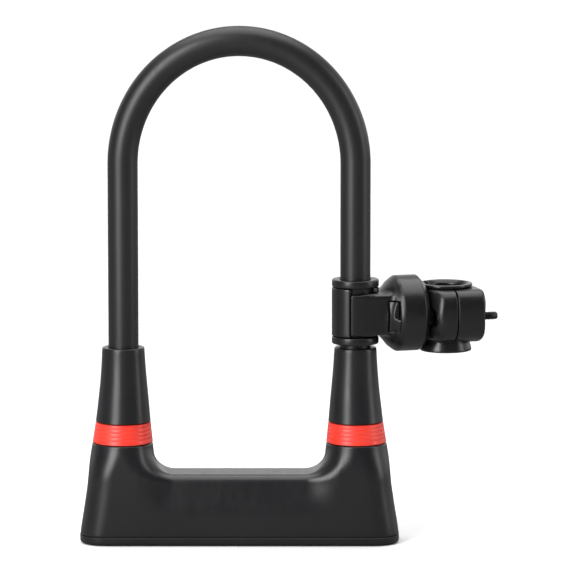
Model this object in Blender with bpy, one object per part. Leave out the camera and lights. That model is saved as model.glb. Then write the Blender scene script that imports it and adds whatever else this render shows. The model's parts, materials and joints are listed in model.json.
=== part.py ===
"""Bicycle U lock: shackle, crossbar with its key lock, and the carrier bracket on the right leg.

Frame: metres, origin at the centre of the crossbar's flat underside, +X towards the leg that
carries the bracket, +Y to the back, +Z up along the legs. Dimensions below are in millimetres.
Rest pose: shackle fully in, lock bolts drawn back, keyhole shutter shut, clamp closed.
"""
import math

import bmesh
import bpy
from mathutils import Matrix, Vector

MM = 0.001
GAP = 0.3                      # clearance between neighbouring pieces

# Shackle
LEG_X = 59.2                   # leg axis from the middle of the crossbar
BAR_R = 6.5                    # hardened steel bar
COAT_R = 7.7                   # outside of the soft coating
ARCH_Z = 195.0                 # the arch is a half ellipse from here up
ARCH_RISE = 62.5
FOOT_Z = 12.5                  # lower end of the feet
COAT_END_Z = 66.0              # the feet are bare below this height
ARCH_STEPS = 24
BAR_SIDES = 20

# Crossbar shell
HALF_DEPTH = 17.0
CORNER_R = 13.0
SEAM_Z = 3.9                   # between the base cover and the housing
TOP_Z = 35.5                   # top of the crossbar between the columns
RING_LOW = 51.5
RING_HIGH = 61.8
COLUMN_TOP = 100.4
SPIGOT_LOW = 45.0              # the sleeve's spigot stands in the housing from here up
SPIGOT_R = 11.2
BUSH_R = 9.2
BUSH_TOP = 65.5

# Steel lock tube, a rectangular section along X
TUBE_HALF_X = 71.5
TUBE_HALF_Y = 12.0
TUBE_LOW = 6.0
TUBE_HIGH = 31.0
TUBE_WALL = 3.0
TUBE_IN_Y = TUBE_HALF_Y - TUBE_WALL
TUBE_IN_LOW = TUBE_LOW + TUBE_WALL
TUBE_IN_HIGH = TUBE_HIGH - TUBE_WALL

# Lock works
SHELL_R = 8.6
BARREL_R = 6.0
BARREL_LOW = 4.2
BARREL_HIGH = 19.8
DISC_R = 4.6
DISC_COUNT = 5
DISC_PITCH = 2.25
DISC_THICK = 1.85
TOOTH_MODULE = 0.8
PINION_TEETH = 10
PITCH_R = TOOTH_MODULE * PINION_TEETH / 2.0
BOLT_LOW = 20.3
BOLT_HIGH = 26.3
BOLT_HALF_Y = 4.0
BOLT_TIP_X = 52.0              # drawn back, just clear of the foot
BOLT_ARM_Y = 8.6               # outer side of the rack arm
GUIDE_START_X = 25.0           # past the rack arm's shoulder at full travel
GUIDE_END_X = 47.0
NOTCH_END_X = 59.2             # depth of the notch in each foot
SHUTTER_HALF_X = 7.9
SHUTTER_TRAVEL = 14.0
KEYHOLE_R = 6.0
COVER_SCREW_X = 76.9

# Carrier bracket. Its own frame has its origin on the right leg's axis at ARM_Z, x along the arm.
ARM_Z = 117.0
ARM_YAW = math.radians(16.0)
FLANGE_R = 12.0
SPOOL_R = 9.1
SPOOL_LOW = -14.6
SPOOL_HIGH = 18.5
FLANGE_THICK = 3.8
COLLAR_IN_R = SPOOL_R + GAP
KEEPER_ANGLE = math.radians(61.0)
CUP_R = 19.5
SOCKET_R = 15.5
SOCKET_X = 23.7
LATCH_TRAVEL = 2.2
LATCH_X = (26.5, 28.5)
PLUG_TIP_R = 8.6
PLUG_GROOVE_R = 6.3
BUTTON_HALF_Z = 7.7
CLAMP_X = 48.5                 # axis of the upright bore, and the split plane
CLAMP_BORE_R = 12.4
CLAMP_SPLIT = 0.25             # half of the slit between the two halves
PIN_Y = 17.6
KNUCKLE_R = 4.2
KNUCKLE_HALF = 4.6
SCREW_Y = -15.6
SCREW_Z = -1.0
SCREW_R = 2.1


# ---------------------------------------------------------------- scene and materials

def clear_scene():
    for old in list(bpy.data.objects):
        bpy.data.objects.remove(old, do_unlink=True)


def finish(name, colour, roughness, metallic):
    material = bpy.data.materials.new(name)
    material.use_nodes = True
    shader = material.node_tree.nodes["Principled BSDF"]
    shader.inputs["Base Color"].default_value = (*colour, 1.0)
    shader.inputs["Roughness"].default_value = roughness
    shader.inputs["Metallic"].default_value = metallic
    material.diffuse_color = (*colour, 1.0)
    return material


def make_materials():
    return {
        "coating": finish("coating", (0.026, 0.026, 0.027), 0.45, 0.0),
        "black": finish("black_plastic", (0.030, 0.031, 0.033), 0.36, 0.0),
        "red": finish("red_plastic", (0.87, 0.062, 0.045), 0.35, 0.0),
        "rubber": finish("rubber", (0.022, 0.022, 0.023), 0.70, 0.0),
        "nylon": finish("nylon", (0.72, 0.71, 0.67), 0.50, 0.0),
        "steel": finish("steel", (0.56, 0.57, 0.58), 0.30, 1.0),
        "zinc": finish("zinc_casting", (0.45, 0.46, 0.48), 0.42, 1.0),
        "brass": finish("brass", (0.78, 0.58, 0.26), 0.28, 1.0),
    }


# ---------------------------------------------------------------- outlines and solids

def circle(radius, sides, centre=(0.0, 0.0)):
    turns = [2.0 * math.pi * k / sides for k in range(sides)]
    return [(centre[0] + radius * math.cos(t), centre[1] + radius * math.sin(t)) for t in turns]


def oval(half_y, half_z, sides, power=2.9):
    """Superellipse in the YZ plane, fuller than an ellipse."""
    points = []
    for k in range(sides):
        t = 2.0 * math.pi * k / sides
        c = math.cos(t)
        s = math.sin(t)
        y = math.copysign(abs(c) ** (2.0 / power), c) * half_y
        z = math.copysign(abs(s) ** (2.0 / power), s) * half_z
        points.append((y, z))
    return points


def rounded_rectangle(half_x, half_y, radius, steps=6):
    points = []
    corners = ((1, 1, 0.0), (-1, 1, 0.5), (-1, -1, 1.0), (1, -1, 1.5))
    for sign_x, sign_y, start in corners:
        for k in range(steps + 1):
            t = math.pi * (start + 0.5 * k / steps)
            x = sign_x * (half_x - radius) + radius * math.cos(t)
            y = sign_y * (half_y - radius) + radius * math.sin(t)
            points.append((x, y))
    return points


def sector(inner, outer, start, end, steps):
    """Outline of a piece of a flat ring between two angles."""
    turns = [start + (end - start) * k / steps for k in range(steps + 1)]
    outside = [(outer * math.cos(t), outer * math.sin(t)) for t in turns]
    inside = [(inner * math.cos(t), inner * math.sin(t)) for t in reversed(turns)]
    return outside + inside


def place(name, bm, material, parent=None):
    """Turn a bmesh drawn in millimetres into an object in metres."""
    bmesh.ops.transform(bm, matrix=Matrix.Scale(MM, 4), verts=bm.verts)
    bmesh.ops.recalc_face_normals(bm, faces=bm.faces)
    mesh = bpy.data.meshes.new(name)
    bm.to_mesh(mesh)
    bm.free()
    mesh.shade_smooth()
    mesh.set_sharp_from_angle(angle=math.radians(35.0))
    obj = bpy.data.objects.new(name, mesh)
    bpy.context.scene.collection.objects.link(obj)
    if material is not None:
        mesh.materials.append(material)
    obj.parent = parent
    return obj


def loft(name, rings, material=None, parent=None, closed=False):
    """Skin through rings of equal length. closed joins the last ring to the first."""
    bm = bmesh.new()
    rows = [[bm.verts.new(Vector(p)) for p in ring] for ring in rings]
    count = len(rows[0])
    pairs = list(zip(rows, rows[1:]))
    if closed:
        pairs.append((rows[-1], rows[0]))
    else:
        bm.faces.new(rows[0])
        bm.faces.new(rows[-1])
    for low, high in pairs:
        for k in range(count):
            n = (k + 1) % count
            bm.faces.new((low[k], low[n], high[n], high[k]))
    return place(name, bm, material, parent)


def prism(name, outline, low, high, material=None, parent=None):
    """Outline in XY, upright from low to high."""
    rings = [[(x, y, z) for x, y in outline] for z in (low, high)]
    return loft(name, rings, material, parent)


def box(name, low, high, material=None, parent=None):
    outline = [(low[0], low[1]), (high[0], low[1]), (high[0], high[1]), (low[0], high[1])]
    return prism(name, outline, low[2], high[2], material, parent)


def turned(name, profile, sides, material=None, parent=None, hollow=False, centre=(0.0, 0.0)):
    """Upright turned piece. profile is (radius, height) pairs, and hollow closes it into a ring."""
    rings = [[(x, y, z) for x, y in circle(r, sides, centre)] for r, z in profile]
    return loft(name, rings, material, parent, closed=hollow)


def turned_along(name, profile, sides, material=None, parent=None, hollow=False, centre=(0.0, 0.0)):
    """The same about a line along x. profile is (radius, x) pairs, centre is (y, z)."""
    rings = [[(x, y, z) for y, z in circle(r, sides, centre)] for r, x in profile]
    return loft(name, rings, material, parent, closed=hollow)


def combine(target, tool, operation):
    modifier = target.modifiers.new(tool.name, "BOOLEAN")
    modifier.operation = operation
    modifier.solver = "EXACT"
    modifier.object = tool
    tool.hide_render = True
    tool.display_type = "WIRE"


def cut(target, tool):
    combine(target, tool, "DIFFERENCE")


def fuse(target, tool):
    combine(target, tool, "UNION")


def set_origin(obj, point):
    """Move an object's origin to a point in millimetres without moving its shape."""
    shift = Vector(point) * MM
    obj.data.transform(Matrix.Translation(-shift))
    obj.location = obj.location + shift


# ---------------------------------------------------------------- shackle

def bar_rings(radius, foot, end_radius=None):
    """Rings of a round bar up the left leg, over the arch and down the right leg."""
    stations = [(-LEG_X, foot, math.pi, radius)]
    if end_radius is not None:
        shoulder = foot + radius - end_radius
        stations = [(-LEG_X, foot, math.pi, end_radius), (-LEG_X, shoulder, math.pi, radius)]
    for k in range(ARCH_STEPS + 1):
        t = math.pi - math.pi * k / ARCH_STEPS
        lean = math.atan2(LEG_X * math.sin(t), ARCH_RISE * math.cos(t))
        stations.append((LEG_X * math.cos(t), ARCH_Z + ARCH_RISE * math.sin(t), lean, radius))
    legs = 1 if end_radius is None else 2
    for x, z, _, r in reversed(stations[:legs]):
        stations.append((-x, z, 0.0, r))
    rings = []
    for x, z, t, r in stations:
        ring = []
        for c, s in circle(r, BAR_SIDES):
            ring.append((x + c * math.cos(t), s, z + c * math.sin(t)))
        rings.append(ring)
    return rings


def make_shackle(mats):
    bar = loft("shackle_bar", bar_rings(BAR_R, FOOT_Z, BAR_R - 1.2), mats["steel"])
    for side in (-1, 1):
        inner = sorted((side * (LEG_X - BAR_R - 2.0), side * NOTCH_END_X))
        low = (inner[0], -BAR_R - 1.0, BOLT_LOW - 0.5)
        high = (inner[1], BAR_R + 1.0, BOLT_HIGH + 0.5)
        cut(bar, box(f"cut_foot_notch_{side}", low, high))
    outside = bar_rings(COAT_R, COAT_END_Z)
    inside = bar_rings(BAR_R + GAP, COAT_END_Z)
    loft("shackle_cover", outside + inside[::-1], mats["coating"], closed=True)


# ---------------------------------------------------------------- crossbar shell

def slab_rings(levels):
    """Rounded rectangles: levels are (height, half length, inset of the depth)."""
    rings = []
    for z, half_x, inset in levels:
        outline = rounded_rectangle(half_x, HALF_DEPTH - inset, CORNER_R - inset)
        rings.append([(x, y, z) for x, y in outline])
    return rings


def make_housing(mats):
    levels = (
        (SEAM_Z + 0.15, 81.6, 0.0),
        (11.2, 80.8, 0.0),
        (19.5, 79.4, 0.0),
        (27.7, 78.3, 0.0),
        (33.7, 77.2, 0.0),
        (34.9, 76.7, 0.5),
        (TOP_Z, 75.9, 1.5),
    )
    housing = loft("housing", slab_rings(levels), mats["black"])
    column = (
        (16.2, 27.0), (16.7, 31.0), (16.8, 36.9), (16.5, 41.0), (16.0, 45.0), (15.3, RING_LOW - GAP),
    )
    for side in (-1, 1):
        centre = (side * LEG_X, 0.0)
        fuse(housing, turned(f"join_column_{side}", column, 28, centre=centre))
    inside = TUBE_HALF_X + GAP
    depth = TUBE_HALF_Y + GAP
    cut(housing, box("cut_tube_bay", (-inside, -depth, 0.0), (inside, depth, TUBE_HIGH + GAP)))
    bore = ((BUSH_R + GAP, 25.0), (BUSH_R + GAP, SPIGOT_LOW - GAP), (SPIGOT_R + GAP, SPIGOT_LOW - GAP),
            (SPIGOT_R + GAP, 60.0))
    for side in (-1, 1):
        cut(housing, turned(f"cut_column_bore_{side}", bore, 24, centre=(side * LEG_X, 0.0)))
        hole = ((1.7, 0.0), (1.7, 15.0))
        cut(housing, turned(f"cut_screw_pilot_{side}", hole, 16, centre=(side * COVER_SCREW_X, 0.0)))


def make_columns(mats):
    sleeve = (
        (SPIGOT_R, SPIGOT_LOW), (SPIGOT_R, RING_HIGH + GAP), (13.7, RING_HIGH + GAP), (13.15, 69.0),
        (12.6, 75.5), (12.1, 82.0), (11.5, 89.5), (11.0, 96.5), (10.85, 99.4), (10.4, 100.1),
        (9.6, COLUMN_TOP), (COAT_R + GAP, COLUMN_TOP), (COAT_R + GAP, BUSH_TOP + GAP),
        (BUSH_R + GAP, BUSH_TOP + GAP), (BUSH_R + GAP, SPIGOT_LOW),
    )
    ring = (
        (15.2, RING_LOW), (14.45, 56.6), (13.85, RING_HIGH),
        (SPIGOT_R + GAP, RING_HIGH), (SPIGOT_R + GAP, RING_LOW),
    )
    bush_low = TUBE_HIGH + GAP
    bush = (
        (BUSH_R, bush_low), (BUSH_R, BUSH_TOP), (BAR_R + GAP, BUSH_TOP), (BAR_R + GAP, bush_low),
    )
    for word, side in (("left", -1), ("right", 1)):
        centre = (side * LEG_X, 0.0)
        turned(f"column_sleeve_{word}", sleeve, 28, mats["black"], hollow=True, centre=centre)
        turned(f"accent_ring_{word}", ring, 28, mats["red"], hollow=True, centre=centre)
        turned(f"column_bush_{word}", bush, 20, mats["nylon"], hollow=True, centre=centre)


def dovetail(name, half_length, ease, height, offset=0.0, material=None):
    """Plate along x that is wider at its upper side, so it can't drop out."""
    rings = []
    for z, half_y in ((0.0, 7.0 + ease), (height, 7.8 + ease)):
        x0 = offset - half_length
        x1 = offset + half_length
        rings.append([(x0, -half_y, z), (x1, -half_y, z), (x1, half_y, z), (x0, half_y, z)])
    return loft(name, rings, material)


def make_base(mats):
    levels = (
        (0.0, 79.9, 1.6), (0.5, 80.8, 0.7), (1.5, 81.5, 0.0), (SEAM_Z - 0.15, 81.6, 0.0),
    )
    cover = loft("base_cover", slab_rings(levels), mats["black"])
    for side in (-1, 1):
        ends = sorted((side * 14.0, side * 70.0))
        rail = box(f"join_rail_{side}", (ends[0], -TUBE_HALF_Y, 3.0), (ends[1], TUBE_HALF_Y, TUBE_LOW - GAP))
        fuse(cover, rail)
    track_half = SHUTTER_HALF_X + SHUTTER_TRAVEL / 2.0 + GAP
    track = dovetail("cut_shutter_track", track_half, GAP, 1.7, offset=SHUTTER_TRAVEL / 2.0)
    track.data.transform(Matrix.Translation((0.0, 0.0, -0.00001)))
    cut(cover, track)
    cut(cover, turned("cut_keyhole", ((KEYHOLE_R, 1.0), (KEYHOLE_R, 5.0)), 28))
    dovetail("keyhole_shutter", SHUTTER_HALF_X, 0.0, 1.4, material=mats["black"])
    for word, side in (("left", -1), ("right", 1)):
        centre = (side * COVER_SCREW_X, 0.0)
        seat = ((3.1, -1.0), (3.1, 2.2), (1.7, 2.2), (1.7, 6.0))
        cut(cover, turned(f"cut_screw_seat_{side}", seat, 20, centre=centre))
        body = ((2.6, 0.3), (2.8, 0.6), (2.8, 1.9), (1.4, 1.9), (1.4, 13.2), (0.7, 14.2))
        screw = turned(f"cover_screw_{word}", body, 18, mats["steel"], centre=centre)
        cut(screw, turned(f"cut_cover_hex_{side}", ((1.25, 0.0), (1.25, 1.3)), 6, centre=centre))


# ---------------------------------------------------------------- lock works

def make_tube(mats):
    tube = box("lock_tube", (-TUBE_HALF_X, -TUBE_HALF_Y, TUBE_LOW), (TUBE_HALF_X, TUBE_HALF_Y, TUBE_HIGH),
               mats["steel"])
    inside = box("cut_tube_inside", (-90.0, -TUBE_IN_Y, TUBE_IN_LOW), (90.0, TUBE_IN_Y, TUBE_IN_HIGH))
    cut(tube, inside)
    cut(tube, turned("cut_cylinder_seat", ((SHELL_R + GAP, 0.0), (SHELL_R + GAP, 12.0)), 28))
    for word, side in (("left", -1), ("right", 1)):
        centre = (side * LEG_X, 0.0)
        hole = ((BAR_R + GAP, 20.0), (BAR_R + GAP, 40.0))
        cut(tube, turned(f"cut_leg_hole_{side}", hole, 24, centre=centre))
        screw_hole = ((1.5, 0.0), (1.5, 12.0))
        cut(tube, turned(f"cut_plate_hole_{side}", screw_hole, 12, centre=(side * 13.5, 0.0)))
        ends = sorted((side * 66.5, side * (TUBE_HALF_X - GAP)))
        low = (ends[0], GAP - TUBE_IN_Y, TUBE_IN_LOW + GAP)
        high = (ends[1], TUBE_IN_Y - GAP, TUBE_IN_HIGH - GAP)
        box(f"end_plug_{word}", low, high, mats["steel"])
        pad = ((6.2, TUBE_IN_LOW + GAP), (6.2, FOOT_Z - GAP))
        turned(f"foot_pad_{word}", pad, 24, mats["rubber"], centre=centre)
        ends = sorted((side * GUIDE_START_X, side * GUIDE_END_X))
        low = (ends[0], GAP - TUBE_IN_Y, TUBE_IN_LOW + GAP)
        high = (ends[1], TUBE_IN_Y - GAP, TUBE_IN_HIGH - GAP)
        guide = box(f"bolt_guide_{word}", low, high, mats["zinc"])
        channel_y = BOLT_HALF_Y + GAP
        low = (ends[0] - 5.0, -channel_y, BOLT_LOW - GAP)
        high = (ends[1] + 5.0, channel_y, 30.0)
        cut(guide, box(f"cut_guide_{side}", low, high))


def make_cylinder(mats):
    low = SEAM_Z
    high = 19.1
    shell = turned("lock_cylinder", ((SHELL_R, low), (SHELL_R, high)), 28, mats["brass"])
    plate_low = TUBE_IN_LOW + GAP
    fuse(shell, box("join_cylinder_plate", (-17.0, -SHELL_R, plate_low), (17.0, SHELL_R, plate_low + 2.4)))
    bore = ((BARREL_R + GAP, 0.0), (BARREL_R + GAP, 30.0))
    cut(shell, turned("cut_barrel_bore", bore, 28))
    cut(shell, box("cut_bar_groove", (-7.4, -1.1, 6.5), (-5.0, 1.1, 17.4)))
    for word, side in (("left", -1), ("right", 1)):
        centre = (side * 13.5, 0.0)
        cut(shell, turned(f"cut_plate_screw_{side}", ((1.5, 5.0), (1.5, 15.0)), 12, centre=centre))
        top = plate_low + 2.4 + GAP
        body = ((1.2, TUBE_LOW + 0.6), (1.2, top), (2.4, top), (2.4, top + 1.7))
        screw = turned(f"cylinder_screw_{word}", body, 14, mats["steel"], centre=centre)
        socket = ((1.1, top + 0.6), (1.1, top + 4.0))
        cut(screw, turned(f"cut_plate_hex_{side}", socket, 6, centre=centre))


def make_barrel(mats):
    profile = ((BARREL_R, BARREL_LOW), (BARREL_R, BARREL_HIGH))
    barrel = turned("turning_barrel", profile, 28, mats["brass"])
    fuse(barrel, box("join_barrel_tail", (-1.5, -1.5, 18.0), (1.5, 1.5, BOLT_HIGH - 0.1)))
    room = ((DISC_R + GAP, 6.0), (DISC_R + GAP, 17.6))
    cut(barrel, turned("cut_disc_room", room, 24))
    cut(barrel, box("cut_key_slot", (-1.3, -3.2, 0.0), (1.3, 3.2, 7.0)))
    cut(barrel, box("cut_bar_window", (-8.0, -1.0, 6.3), (-3.0, 1.0, 17.3)))
    for k in range(DISC_COUNT):
        z = 6.35 + k * DISC_PITCH
        disc = turned(f"detainer_disc_{k + 1}", ((DISC_R, z), (DISC_R, z + DISC_THICK)), 24, mats["brass"])
        cut(disc, box(f"cut_disc_slot_{k}", (-1.3, -3.2, z - 1.0), (1.3, 3.2, z + 3.0)))
        cut(disc, box(f"cut_disc_gate_{k}", (-6.0, -1.0, z - 1.0), (-3.6, 1.0, z + 3.0)))
    box("side_bar", (-5.7, -0.7, 6.7), (-3.9, 0.7, 16.9), mats["steel"])


def pinion_outline():
    """Toothed wheel with tapered teeth, one tooth pointing along -Y."""
    tip_r = PITCH_R + 0.7
    root_r = PITCH_R - 0.95
    step = 2.0 * math.pi / PINION_TEETH
    points = []
    for k in range(PINION_TEETH):
        middle = -math.pi / 2.0 + k * step
        marks = ((root_r, -0.215), (tip_r, -0.048), (tip_r, 0.048), (root_r, 0.215))
        for r, swing in marks:
            points.append((r * math.cos(middle + swing), r * math.sin(middle + swing)))
    return points


def bolt_outline():
    """The right bolt seen from above, with its rack on the -Y side of the pinion."""
    pitch = math.pi * TOOTH_MODULE
    root_y = -PITCH_R - 0.95
    tip_y = -PITCH_R + 0.7
    step_x = 12.0
    points = [
        (step_x, BOLT_HALF_Y), (BOLT_TIP_X - 1.0, BOLT_HALF_Y), (BOLT_TIP_X, BOLT_HALF_Y - 1.0),
        (BOLT_TIP_X, 1.0 - BOLT_HALF_Y), (BOLT_TIP_X - 1.0, -BOLT_HALF_Y), (18.0, -BOLT_HALF_Y),
        (18.0, -BOLT_ARM_Y), (-11.2, -BOLT_ARM_Y), (-11.2, root_y),
    ]
    for k in range(-4, 2):
        middle = (k + 0.5) * pitch
        points.extend(((middle - 0.86, root_y), (middle - 0.22, tip_y)))
        points.extend(((middle + 0.22, tip_y), (middle + 0.86, root_y)))
    points.append((step_x, root_y))
    return points


def make_drive(mats):
    pinion = prism("drive_pinion", pinion_outline(), BOLT_LOW + 0.3, BOLT_HIGH - 0.3, mats["steel"])
    half = 1.5 + GAP
    cut(pinion, box("cut_pinion_square", (-half, -half, 15.0), (half, half, 30.0)))
    outline = bolt_outline()
    turned_round = [(-x, -y) for x, y in outline]
    prism("bolt_right", outline, BOLT_LOW, BOLT_HIGH, mats["steel"])
    prism("bolt_left", turned_round, BOLT_LOW, BOLT_HIGH, mats["steel"])


# ---------------------------------------------------------------- carrier bracket

def make_bracket_frame():
    empty = bpy.data.objects.new("bracket_frame", None)
    empty.location = (LEG_X * MM, 0.0, ARM_Z * MM)
    empty.rotation_euler = (0.0, 0.0, ARM_YAW)
    bpy.context.scene.collection.objects.link(empty)
    return empty


def make_collar(mats, frame):
    low_flange = SPOOL_LOW + FLANGE_THICK
    high_flange = SPOOL_HIGH - FLANGE_THICK
    bore = COAT_R + GAP
    profile = (
        (FLANGE_R, SPOOL_LOW), (FLANGE_R, low_flange), (SPOOL_R, low_flange), (SPOOL_R, high_flange),
        (FLANGE_R, high_flange), (FLANGE_R, SPOOL_HIGH), (bore, SPOOL_HIGH), (bore, SPOOL_LOW),
    )
    turned("leg_spool", profile, 28, mats["black"], frame, hollow=True)
    outline = sector(COLLAR_IN_R, FLANGE_R, math.pi - KEEPER_ANGLE, math.pi + KEEPER_ANGLE, 12)
    prism("collar_keeper", outline, low_flange + GAP, high_flange - GAP, mats["black"], frame)


def make_holder(mats, frame):
    slit = math.radians(1.5)
    reach = math.pi - KEEPER_ANGLE - slit
    holder = prism("holder_arm", sector(COLLAR_IN_R, FLANGE_R, -reach, reach, 24), -9.7, 11.4,
                   mats["black"], frame)
    cup = (
        (9.2, 9.9), (10.3, 12.4), (13.5, 14.3), (17.3, 17.3), (19.0, 19.2), (CUP_R, 20.6),
        (CUP_R, 32.2), (16.8, 34.9),
    )
    fuse(holder, turned_along("join_cup", cup, 32, parent=frame))
    socket = ((SOCKET_R, SOCKET_X), (SOCKET_R, 40.0))
    cut(holder, turned_along("cut_socket", socket, 28, parent=frame))
    pocket = [
        (14.1, -30.0), (19.3, -30.0), (19.3, -15.1), (25.0, -15.1), (25.0, -10.8), (21.0, -10.8),
        (14.1, -8.2),
    ]
    half = BUTTON_HALF_Z + GAP
    cut(holder, prism("cut_button_pocket", pocket, -half, half, parent=frame))
    ring = ((12.7, 30.6), (15.2, 30.6), (15.2, 34.6), (12.7, 34.6))
    turned_along("cup_ring", ring, 28, mats["black"], frame, hollow=True)
    spring = sector(14.2, 14.9, math.radians(90.0 - 32.0), math.radians(90.0 + 32.0), 8)
    rings = [[(x, s, c) for c, s in spring] for x in (25.6, 29.4)]
    loft("latch_spring", rings, mats["steel"], frame)


def make_latch(mats, frame):
    outline = [
        (14.4, -13.6), (19.0, -18.8), (19.0, -14.8), (24.7, -14.8), (24.7, -13.5), (21.3, -13.5),
        (14.4, -11.0),
    ]
    button = prism("release_button", outline, -BUTTON_HALF_Z, BUTTON_HALF_Z, mats["black"], frame)
    fuse(button, box("join_button_foot", (24.0, -14.8, -3.0), (LATCH_X[1], -13.5, 3.0), parent=frame))
    centre = (-LATCH_TRAVEL, 0.0)
    plate = turned_along("latch_plate", ((11.3, LATCH_X[0]), (11.3, LATCH_X[1])), 28, mats["steel"],
                         frame, centre=centre)
    hole = ((PLUG_TIP_R + GAP, 20.0), (PLUG_TIP_R + GAP, 35.0))
    cut(plate, turned_along("cut_latch_hole", hole, 28, parent=frame, centre=centre))
    cut(plate, box("cut_latch_front", (20.0, -20.0, -20.0), (35.0, -13.2, 20.0), parent=frame))


def clamp_rings(stations):
    rings = []
    for x, half_y, half_z in stations:
        rings.append([(x, y, z) for y, z in oval(half_y, half_z, 32)])
    return rings


def bore_cutter(name, frame):
    profile = (
        (13.7, -30.0), (13.7, -13.6), (CLAMP_BORE_R, -13.6), (CLAMP_BORE_R, 12.9), (13.7, 12.9),
        (13.7, 30.0),
    )
    return turned(name, profile, 28, parent=frame, centre=(CLAMP_X, 0.0))


def pin_tool(name, radius, low, high, frame):
    return turned(name, ((radius, low), (radius, high)), 20, parent=frame, centre=(CLAMP_X, PIN_Y))


def make_mount(mats, frame):
    stations = (
        (35.8, 17.5, 13.2), (36.5, 19.8, 14.2), (38.1, 21.3, 14.9), (41.5, 21.9, 15.3),
        (CLAMP_X - CLAMP_SPLIT, 22.0, 15.5),
    )
    mount = loft("mount_body", clamp_rings(stations), mats["black"], frame)
    plug = (
        (7.6, 24.0), (PLUG_TIP_R, 25.0), (PLUG_TIP_R, 26.1), (PLUG_GROOVE_R, 26.1), (PLUG_GROOVE_R, 28.9),
        (PLUG_TIP_R, 28.9), (12.4, 30.2), (12.4, 38.0),
    )
    fuse(mount, turned_along("join_plug", plug, 24, parent=frame))
    knuckle_low = KNUCKLE_HALF + GAP
    for side in (-1, 1):
        ends = sorted((side * knuckle_low, side * 9.2))
        fuse(mount, pin_tool(f"join_knuckle_{side}", KNUCKLE_R, ends[0], ends[1], frame))
    cut(mount, pin_tool("cut_knuckle_room", KNUCKLE_R + 0.4, -knuckle_low, knuckle_low, frame))
    cut(mount, bore_cutter("cut_mount_bore", frame))
    cut(mount, pin_tool("cut_mount_pin", 1.9, -9.6, 9.6, frame))
    centre = (SCREW_Y, SCREW_Z)
    head_room = ((4.4, 35.2), (4.4, 41.3))
    cut(mount, turned_along("cut_head_room", head_room, 24, parent=frame, centre=centre))
    shank = ((SCREW_R + 0.35, 40.0), (SCREW_R + 0.35, 50.0))
    cut(mount, turned_along("cut_shank", shank, 16, parent=frame, centre=centre))


def make_jaw(mats, frame):
    stations = (
        (CLAMP_X + CLAMP_SPLIT, 22.0, 15.5), (55.0, 22.0, 15.4), (60.4, 21.6, 15.1), (62.2, 20.9, 14.4),
        (63.2, 19.8, 13.4), (63.7, 18.4, 12.2),
    )
    jaw = loft("clamp_jaw", clamp_rings(stations), mats["black"], frame)
    for side in (-1, 1):
        ends = sorted((side * KNUCKLE_HALF, side * 20.0))
        cut(jaw, pin_tool(f"cut_knuckle_end_{side}", KNUCKLE_R + 0.4, ends[0], ends[1], frame))
    fuse(jaw, pin_tool("join_jaw_knuckle", KNUCKLE_R, -KNUCKLE_HALF, KNUCKLE_HALF, frame))
    cut(jaw, bore_cutter("cut_jaw_bore", frame))
    cut(jaw, pin_tool("cut_jaw_pin", 1.9, -9.6, 9.6, frame))
    slot_high = SCREW_Y + SCREW_R + 0.35
    slot_low = SCREW_Y - SCREW_R - 1.9
    slot = ((47.0, slot_low, SCREW_Z - 2.5), (70.0, slot_high, SCREW_Z + 2.5))
    cut(jaw, box("cut_screw_slot", slot[0], slot[1], parent=frame))
    pocket = ((53.6, SCREW_Y - 4.3, SCREW_Z - 3.5), (58.2, -7.0, SCREW_Z + 3.5))
    cut(jaw, box("cut_nut_pocket", pocket[0], pocket[1], parent=frame))
    set_origin(jaw, (CLAMP_X, PIN_Y, 0.0))


def make_fasteners(mats, frame):
    pin = turned("hinge_pin", ((1.3, -9.4), (1.6, -9.1), (1.6, 9.1), (1.3, 9.4)), 20, mats["steel"],
                 frame, centre=(CLAMP_X, PIN_Y))
    set_origin(pin, (CLAMP_X, PIN_Y, 0.0))
    centre = (SCREW_Y, SCREW_Z)
    body = ((3.2, 37.2), (3.5, 37.6), (3.5, 41.0), (SCREW_R, 41.0), (SCREW_R, 70.4), (1.6, 71.0))
    screw = turned_along("clamp_screw", body, 20, mats["steel"], frame, centre=centre)
    cut(screw, turned_along("cut_screw_hex", ((2.0, 36.0), (2.0, 39.4)), 6, parent=frame, centre=centre))
    low = (54.3, SCREW_Y - 2.9, SCREW_Z - 3.1)
    high = (57.5, SCREW_Y + 2.9, SCREW_Z + 3.1)
    nut = box("clamp_nut", low, high, mats["steel"], frame)
    thread = ((SCREW_R + GAP, 50.0), (SCREW_R + GAP, 60.0))
    cut(nut, turned_along("cut_nut_thread", thread, 16, parent=frame, centre=centre))


def make_shim(mats, frame):
    profile = (
        (11.0, -20.1), (13.3, -20.1), (13.3, -18.9), (12.1, -14.4), (12.1, 13.2), (13.3, 13.2),
        (13.3, 14.4), (10.8, 14.4), (10.0, 13.2), (10.0, -17.0),
    )
    shim = turned("tube_shim", profile, 28, mats["rubber"], frame, hollow=True, centre=(CLAMP_X, 0.0))
    gap = box("cut_shim_gap", (0.0, -1.5, -30.0), (20.0, 1.5, 30.0), parent=frame)
    gap.location = (CLAMP_X * MM, 0.0, 0.0)
    gap.rotation_euler = (0.0, 0.0, math.radians(140.0))
    cut(shim, gap)


def build():
    clear_scene()
    mats = make_materials()
    make_shackle(mats)
    make_housing(mats)
    make_columns(mats)
    make_base(mats)
    make_tube(mats)
    make_cylinder(mats)
    make_barrel(mats)
    make_drive(mats)
    frame = make_bracket_frame()
    make_collar(mats, frame)
    make_holder(mats, frame)
    make_latch(mats, frame)
    make_mount(mats, frame)
    make_jaw(mats, frame)
    make_fasteners(mats, frame)
    make_shim(mats, frame)
    bpy.context.view_layer.update()


build()
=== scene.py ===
"""Looks of the U lock: the moulded crossbar shell, the coated shackle and the carrier bracket.

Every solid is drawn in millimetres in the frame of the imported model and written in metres.
Moulded parts are skins over smooth distance fields, so their edges and joins are really rounded.
Turned parts are lofted rings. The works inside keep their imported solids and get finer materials.
"""
import json
import math

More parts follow.
